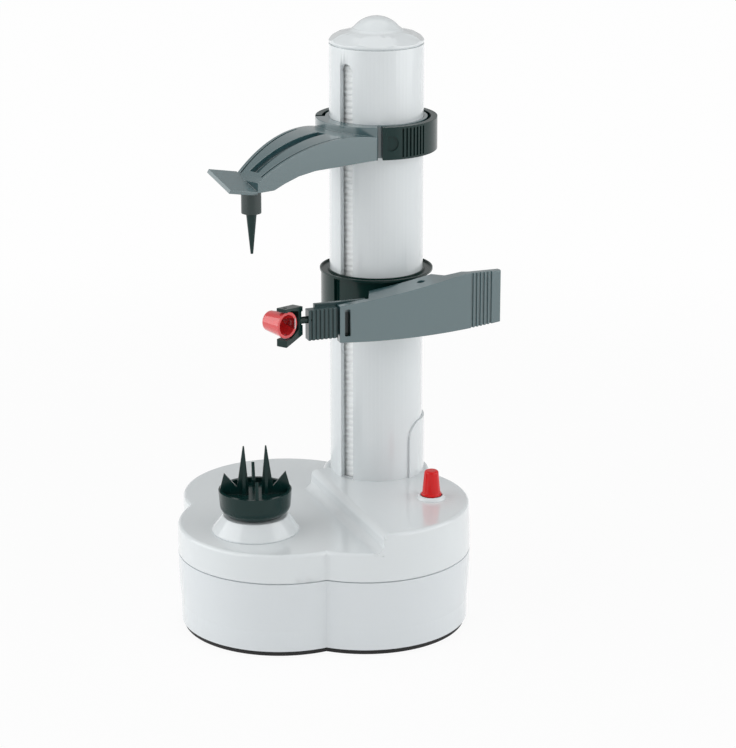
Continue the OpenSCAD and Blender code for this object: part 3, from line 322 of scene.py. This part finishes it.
def slot_pocket_shade(f):
    """Floor and sides of the window that is moulded into the peeling arm, where painted shade darkens the
    plastic.
    """
    x, y, height = f.axes(turn=(0, 0, -ARM_TURN))
    along = x - SLOT_ALONG
    across = y - SLOT_FACE
    wide = along.over(0.0) * (SLOT_WIDE - along).over(0.0)
    deep = across.over(SLOT_LIP) * (SLOT_DEEP - across).over(0.0)
    return (wide * deep * height.over(SLOT_LOW) * (SLOT_HIGH - height).over(0.0)).clamped()


def spike_boss_shade(f):
    """Round boss under the arm's tip, which carries the spike, darkened below its top as painted shade."""
    height = f.axes()[2]
    return 1.0 - height.smooth(BOSS_TOP - BOSS_FADE_BELOW, BOSS_TOP + BOSS_FADE_ABOVE)


def rubber():
    """Matt black rubber with a fine grain."""
    rough, rough_gain, ripple = 0.62, 0.2, 0.4
    f = Finish("black_rubber", Base_Color=tone(20, 20, 20), Roughness=0.75)
    speck = f.noise(**RUBBER_GRAIN)
    f.set("Base Color", f.blend(speck, tone(14, 14, 14), tone(32, 32, 32)))
    f.set("Roughness", (speck * rough_gain + rough).clamped())
    f.bump(speck, ripple, RUBBER_BUMP)
    return f.material


def metal(name, light, dark, rough, stretch=(1, 1, 1)):
    """Bare metal with fine lines, which stretch draws out along one axis, and slow changes of tone."""
    f = Finish(name, Base_Color=light, Metallic=1.0, Roughness=rough)
    lines = f.noise(**BRUSHING, where=f.place(scale=stretch))
    wide = f.noise(**TARNISH)
    f.set("Base Color", f.blend((lines * LINES_IN_TONE + wide * TARNISH_IN_TONE).clamped(), dark, light))
    f.set("Roughness", (lines * LINES_IN_ROUGH + (rough - METAL_ROUGH_DROP)).clamped())
    f.bump(lines, METAL_RIPPLE, FINE_BUMP)
    return f.material


def cell_sleeve():
    """Sleeve of a dry cell: dark, with a copper band over its left third, told apart by place."""
    rough, rough_gain, ripple = 0.28, 0.12, 0.08
    f = Finish("cell_sleeve", Base_Color=tone(30, 32, 36), Roughness=0.32, Coat_Weight=0.4)
    x = f.axes()[0]
    band = (x * -1.0 + CELL_BAND_END).smooth(0.0, CELL_BAND_FADE)
    speck = f.noise(**SLEEVE_GRAIN)
    f.set("Base Color", f.blend(band, f.blend(speck, tone(24, 26, 30), tone(36, 38, 43)),
                                f.blend(speck, tone(150, 104, 58), tone(172, 122, 70))))
    f.set("Roughness", (speck * rough_gain + rough).clamped())
    f.bump(speck, ripple, FINE_BUMP)
    return f.material


WHITE = moulded("white_gloss_plastic", tone(229, 234, 236), tone(223, 229, 231), rough=0.16, coat=0.5,
                ripple=0.03)
WHITE_LOW = moulded("white_base_plastic", tone(226, 231, 234), tone(219, 225, 228), rough=0.18, coat=0.4,
                    ripple=0.04)
WHITE_SCREW = moulded("white_screw_nylon", tone(250, 252, 252), tone(245, 248, 248), rough=0.4, coat=0.0,
                      ripple=0.03)
# Lit copies of one slate plastic: the arm, reach and grip tones are lighter than the round and deep ones, as
# painted sheen on their flat faces.
SLATE_ARM = moulded("slate_arm_plastic", *ARM_SHEEN_TONES, rough=0.3, coat=1.0, specular=0.8, ripple=0.012,
                    coat_ior=1.82, coat_rough=0.14, shade=slot_pocket_shade)
SLATE_REACH = moulded("slate_reach_plastic", *ARM_SHEEN_TONES, rough=0.3, coat=0.9, specular=0.7, ripple=0.012,
                      coat_ior=1.86, coat_rough=0.14, shade=spike_boss_shade)
SLATE_GRIP = moulded("slate_grip_plastic", tone(36, 66, 68), tone(29, 58, 60), rough=0.3, coat=0.35,
                     ripple=0.012)
SLATE_ROUND = moulded("dark_slate_plastic", tone(10, 46, 44), tone(6, 39, 37), rough=0.24, coat=0.12,
                      specular=0.25, ripple=0.02)
SLATE_DEEP = moulded("deep_slate_plastic", tone(8, 44, 40), tone(4, 36, 33), rough=0.22, coat=0.15,
                     specular=0.25, ripple=0.02)
RED = moulded("red_gloss_plastic", tone(222, 6, 8), tone(208, 4, 6), rough=0.2, coat=0.3,
              specular=0.25, ripple=0.03)
RED_CLEAR = moulded("pale_red_plastic", tone(226, 66, 68), tone(212, 50, 54), rough=0.16, coat=0.8,
                    ripple=0.03)
BLACK = moulded("black_plastic", tone(22, 24, 25), tone(14, 15, 16), rough=0.42, coat=0.1, ripple=0.3,
                grain=1600.0)
NYLON = moulded("natural_nylon", tone(226, 224, 214), tone(214, 211, 200), rough=0.45, coat=0.0,
                ripple=0.12)
STEEL = metal("brushed_steel", tone(205, 207, 210), tone(168, 171, 175), rough=0.3, stretch=(1, 1, 0.05))
BLADE_STEEL = metal("ground_blade_steel", tone(214, 216, 219), tone(178, 180, 184), rough=0.24,
                    stretch=(0.08, 1, 1))
BRASS = metal("turned_brass", tone(212, 178, 98), tone(176, 140, 66), rough=0.28)
RUBBER = rubber()
CELL = cell_sleeve()

NODES_IN = (
    (WHITE, ("upper_housing", "cone_seat", "column", "column_cap", "rear_fairing", "button_bezel")),
    (WHITE_LOW, ("lower_housing", "battery_door")),
    (WHITE_SCREW, ("lead_screw",)),
    (SLATE_ARM, ("peeling_arm",)),
    (SLATE_REACH, ("upper_arm",)),
    (SLATE_GRIP, ("blade_slider",)),
    (SLATE_ROUND, ("food_holder", "collar_grip", "top_spike")),
    (SLATE_DEEP, ("carriage_ring", "blade_yoke")),
    (RED, ("start_button",)),
    (RED_CLEAR, ("blade_holder",)),
    (BLACK, ("gear_shelf", "micro_switch")),
    (NYLON, ("cluster_gear", "idler_gear", "holder_gear", "screw_gear", "half_nut")),
    (BRASS, ("motor_pinion",)),
    (BLADE_STEEL, ("blade",)),
    (RUBBER, ("foot_pad",)),
    (CELL, ("cell_1", "cell_2", "cell_3", "cell_4")),
    (STEEL, ("contact_left", "contact_right", "shelf_screws", "housing_screws", "motor", "motor_shaft",
             "cluster_axle", "idler_axle", "holder_shaft", "button_spring", "arm_pin", "arm_spring",
             "yoke_pin", "grip_spring")),
)
FINISH_OF = {name: finish for finish, names in NODES_IN for name in names}
for name, node in frame["nodes"].items():
    node.data.materials.clear()
    node.data.materials.append(FINISH_OF[name])

BODY_OF = {name: body for body, names in frame["record"]["behaviour"]["bodies"].items() for name in names}


# Modelling helpers

def alone(obj):
    """Only this object is selected and active, in object mode."""
    if bpy.context.object and bpy.context.object.mode != "OBJECT":
        bpy.ops.object.mode_set(mode="OBJECT")
    bpy.ops.object.select_all(action="DESELECT")
    obj.select_set(True)
    bpy.context.view_layer.objects.active = obj


def bake(obj):
    """Place goes into the mesh, and every modifier is applied."""
    alone(obj)
    bpy.ops.object.transform_apply(location=True, rotation=True, scale=True)
    for m in list(obj.modifiers):
        bpy.ops.object.modifier_apply(modifier=m.name)


def bevelled(obj, width, segments, held=True):
    """Rounds the sharp edges. A held bevel gets narrower where neighbouring edges would meet."""
    m = obj.modifiers.new("edge", "BEVEL")
    m.width = width * MM
    m.segments = segments
    m.limit_method = "ANGLE"
    m.angle_limit = math.radians(EDGE_ANGLE)
    m.use_clamp_overlap = held
    m.miter_outer = "MITER_ARC"
    bake(obj)


def smoothed(obj, angle):
    """Smooth shading that keeps broad faces flat and folds only on the small ones."""
    alone(obj)
    bpy.ops.object.shade_smooth_by_angle(angle=math.radians(angle))
    m = obj.modifiers.new("flat_faces", "WEIGHTED_NORMAL")
    m.mode = "FACE_AREA"
    m.weight = FLAT_FACE_WEIGHT
    m.keep_sharp = True
    bpy.ops.object.modifier_apply(modifier=m.name)


def grooved(obj, rim, depth):
    """A groove along the middle of the top face, which leaves a thin rim at each edge."""
    top = max(v.co.z for v in obj.data.vertices)
    alone(obj)
    bpy.ops.object.mode_set(mode="EDIT")
    bpy.ops.mesh.select_all(action="DESELECT")
    bpy.ops.object.mode_set(mode="OBJECT")
    for face in obj.data.polygons:
        face.select = face.normal.z > LEVEL_NORMAL and face.center.z > top - LEVEL_ROOM
    bpy.ops.object.mode_set(mode="EDIT")
    bpy.ops.mesh.select_mode(type="FACE")
    bpy.ops.mesh.inset(thickness=rim * MM, use_even_offset=True, use_boundary=True)
    bpy.ops.mesh.extrude_region_move(TRANSFORM_OT_translate={"value": (0, 0, -depth * MM)})
    bpy.ops.mesh.select_mode(type="VERT")
    bpy.ops.object.mode_set(mode="OBJECT")


def finished(piece, name):
    """The piece stands for a node, on its body and material."""
    if not piece.data.materials:
        piece.data.materials.append(FINISH_OF[name])
    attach(piece, BODY_OF[name])
    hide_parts(name)


def copied(name, ending, flat=False):
    """A copy of a node's own mesh with its doubled vertices merged and, if flat, its level faces joined."""
    piece = bpy.data.objects.new(name + ending, frame["nodes"][name].data.copy())
    bpy.context.collection.objects.link(piece)
    alone(piece)
    bpy.ops.object.mode_set(mode="EDIT")
    bpy.ops.mesh.select_all(action="SELECT")
    bpy.ops.mesh.remove_doubles(threshold=DOUBLE)
    if flat:
        bpy.ops.mesh.dissolve_limited(angle_limit=math.radians(FLAT_ANGLE))
    bpy.ops.object.mode_set(mode="OBJECT")
    return piece


def softened(name, width, segments):
    """A node's own shape with its moulded edges rounded, in place of the node."""
    piece = copied(name, "_moulded", flat=True)
    if name in GROOVE_OF:
        grooved(piece, *GROOVE_OF[name])
    bevelled(piece, width, segments, held=name not in FULL_EDGES)
    smoothed(piece, ROUNDED_SMOOTH)
    finished(piece, name)


def carried(name, smooth):
    """A node's own shape, already rounded, with its triangles joined for clean shading."""
    piece = copied(name, "_shell")
    smoothed(piece, smooth)
    finished(piece, name)


for name, width, segments in ROUNDED:
    softened(name, width, segments)
for name, smooth in SHELLS:
    carried(name, smooth)


# Wound and turned pieces

def wound(name, centre, radius, wire, inset, turns):
    """Round wire wound in a helix, as a swept tube. Its two ends lie level."""
    low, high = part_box(name)
    bottom, top = low[2] + inset, high[2] - inset
    curve = bpy.data.curves.new(name + "_wire", "CURVE")
    curve.dimensions = "3D"
    curve.bevel_depth = wire
    curve.bevel_resolution = SPRING_ROUNDNESS
    curve.use_fill_caps = True
    points = []
    count = int(turns * SPRING_STEPS)
    for i in range(count + 1):
        a = 2 * math.pi * i / SPRING_STEPS
        rise = min(1.0, max(0.0, (i / count - SPRING_DEAD_END) / (1.0 - 2 * SPRING_DEAD_END)))
        x = centre.x + radius * math.cos(a)
        y = centre.y + radius * math.sin(a)
        points.append((x, y, bottom + (top - bottom) * rise))
    line = curve.splines.new("POLY")
    line.points.add(len(points) - 1)
    for p, at in zip(line.points, points):
        p.co = (*at, 1.0)
    piece = bpy.data.objects.new(name + "_wound", curve)
    bpy.context.collection.objects.link(piece)
    alone(piece)
    bpy.ops.object.convert(target="MESH")
    piece = bpy.context.object
    smoothed(piece, WIRE_SMOOTH)
    finished(piece, name)
    return piece


spring = wound("button_spring", BUTTON, **BUTTON_COIL)
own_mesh(spring)
wound("arm_spring", PIVOT, **ARM_COIL)


def pin_stubs():
    """The blade holder turns on two short pins, one in each lug of the yoke."""
    low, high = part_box("yoke_pin")
    holder_low, holder_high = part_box("blade_holder")
    x, y = (low[0] + high[0]) / 2, (low[1] + high[1]) / 2
    radius = (high[0] - low[0]) / 2
    level = (holder_low[2] + holder_high[2]) / 2
    parts = []
    for z0, z1 in ((low[2], level - PIN_GAP / 2), (level + PIN_GAP / 2, high[2])):
        bpy.ops.object.select_all(action="DESELECT")
        bpy.ops.mesh.primitive_cylinder_add(vertices=PIN_SIDES, radius=radius, depth=z1 - z0,
                                            location=(x, y, (z0 + z1) / 2))
        stub = bpy.context.object
        bevelled(stub, PIN_EDGE, PIN_EDGE_SEGMENTS)
        parts.append(stub)
    bpy.ops.object.select_all(action="DESELECT")
    for stub in parts:
        stub.select_set(True)
    bpy.context.view_layer.objects.active = parts[0]
    bpy.ops.object.join()
    piece = bpy.context.object
    piece.name = "yoke_pin_stubs"
    smoothed(piece, PLAIN_SMOOTH)
    finished(piece, "yoke_pin")


pin_stubs()


def drive_screw():
    """The big screw inside the column: one tooth of thread swept up in a helix, its ends cut level."""
    low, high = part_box("lead_screw")
    root = (high[0] - low[0]) / 2 - THREAD_DEPTH
    tooth = ((0.0, THREAD_LAND), (THREAD_DEPTH, THREAD_FLANK), (0.0, THREAD_CREST),
             (-THREAD_DEPTH, THREAD_FLANK), (0.0, THREAD_LAND))
    bpy.ops.object.select_all(action="DESELECT")
    bpy.ops.mesh.primitive_plane_add(size=MM, location=(0, 0, 0))
    piece = bpy.context.object
    piece.name = "drive_screw"
    bpy.ops.object.mode_set(mode="EDIT")
    bpy.ops.mesh.select_all(action="SELECT")
    bpy.ops.mesh.merge(type="CENTER")
    bpy.ops.transform.translate(value=(root, 0, SCREW_LOW - SCREW_SPARE_TURNS / 2 * SCREW_PITCH))
    for out, up in tooth:
        bpy.ops.mesh.extrude_region_move(TRANSFORM_OT_translate={"value": (out, 0, up)})
    bpy.ops.object.mode_set(mode="OBJECT")
    sweep = piece.modifiers.new("thread", "SCREW")
    sweep.axis = "Z"
    sweep.angle = 2 * math.pi
    sweep.screw_offset = SCREW_PITCH
    sweep.steps = SCREW_STEPS
    sweep.render_steps = SCREW_STEPS
    sweep.iterations = int((SCREW_HIGH - SCREW_LOW) / SCREW_PITCH) + SCREW_SPARE_TURNS
    sweep.use_merge_vertices = True
    sweep.merge_threshold = DOUBLE
    bake(piece)
    bpy.ops.object.mode_set(mode="EDIT")
    bpy.ops.mesh.select_all(action="SELECT")
    bpy.ops.mesh.remove_doubles(threshold=THREAD_DOUBLE)
    for level, cut_above in ((SCREW_LOW, False), (SCREW_HIGH, True)):
        bpy.ops.mesh.select_all(action="SELECT")
        bpy.ops.mesh.bisect(plane_co=(0, 0, level), plane_no=(0, 0, 1), use_fill=True,
                            clear_inner=not cut_above, clear_outer=cut_above)
    bpy.ops.mesh.select_all(action="SELECT")
    bpy.ops.mesh.normals_make_consistent(inside=False)
    bpy.ops.object.mode_set(mode="OBJECT")
    piece.location = (COLUMN.x, COLUMN.y, 0)
    bake(piece)
    smoothed(piece, PLAIN_SMOOTH)
    finished(piece, "lead_screw")


drive_screw()


# Floor, light and camera

def stage_floor():
    """Pale floor that keeps the shadow; it isn't seen from below, so that the underside is."""
    bpy.ops.object.select_all(action="DESELECT")
    bpy.ops.mesh.primitive_plane_add(size=FLOOR_SIZE, location=(0, 0, -FLOOR_DROP))
    floor = bpy.context.object
    floor.name = "studio_floor"
    f = Finish("pale_floor", Base_Color=(0.9, 0.9, 0.9, 1), Roughness=0.6)
    rays = f.node("ShaderNodeLightPath")
    seen = (f.out(rays, "Is Camera Ray") + f.out(rays, "Is Glossy Ray")).clamped()
    x, y, _ = f.axes()
    far = (x * x + y * y).smooth(FLOOR_NEAR, FLOOR_FAR)
    glow = f.node("ShaderNodeEmission", Color=(1, 1, 1, 1), Strength=FLOOR_GLOW)
    mixed = f.node("ShaderNodeMixShader", i0=seen * (far * FLOOR_GLOW_GAIN + FLOOR_GLOW_NEAR))
    f.tree.links.new(f.shader.outputs[0], mixed.inputs[1])
    f.tree.links.new(glow.outputs[0], mixed.inputs[2])
    below = f.node("ShaderNodeMixShader", i0=f.out(f.node("ShaderNodeNewGeometry"), "Backfacing"))
    f.tree.links.new(mixed.outputs[0], below.inputs[1])
    f.tree.links.new(f.node("ShaderNodeBsdfTransparent").outputs[0], below.inputs[2])
    f.tree.links.new(below.outputs[0], f.tree.nodes["Material Output"].inputs["Surface"])
    floor.data.materials.append(f.material)


def softbox(name, at, aim, width, height, power):
    """A broad lamp at a place, turned to face another."""
    data = bpy.data.lights.new(name, "AREA")
    data.shape = "RECTANGLE"
    data.size = width
    data.size_y = height
    data.energy = power
    lamp = bpy.data.objects.new(name, data)
    bpy.context.collection.objects.link(lamp)
    lamp.location = at
    lamp.rotation_euler = (Vector(aim) - Vector(at)).to_track_quat("-Z", "Y").to_euler()


def pale_world():
    """White where the camera sees it, and dim as a source of light and in gloss."""
    world = bpy.data.worlds.new("pale_studio")
    bpy.context.scene.world = world
    world.use_nodes = True
    tree = world.node_tree
    back = tree.nodes["Background"]
    rays = tree.nodes.new("ShaderNodeLightPath").outputs
    seen = (Wire(tree, rays["Is Camera Ray"]) + Wire(tree, rays["Is Glossy Ray"]) * WORLD_IN_GLOSS
            + Wire(tree, rays["Is Transmission Ray"])).clamped()
    tree.links.new((seen * WORLD_GAIN + WORLD_DIM).socket, back.inputs["Strength"])
    back.inputs["Color"].default_value = (1, 1, 1, 1)


def photo_camera():
    """The camera at the angle of the photograph."""
    camera = bpy.data.objects.new("camera", bpy.data.cameras.new("camera"))
    bpy.context.collection.objects.link(camera)
    camera.location = CAMERA_AT
    camera.rotation_euler = (math.radians(CAMERA_TILT), 0, math.radians(CAMERA_TURN))
    camera.data.lens = CAMERA_LENS
    camera.data.sensor_width = CAMERA_SENSOR
    camera.data.sensor_fit = "AUTO"
    camera.data.clip_start = CAMERA_NEAR
    bpy.context.scene.camera = camera


stage_floor()
for box in SOFTBOXES:
    softbox(**box)
pale_world()
photo_camera()
bpy.context.scene.view_settings.view_transform = "Standard"
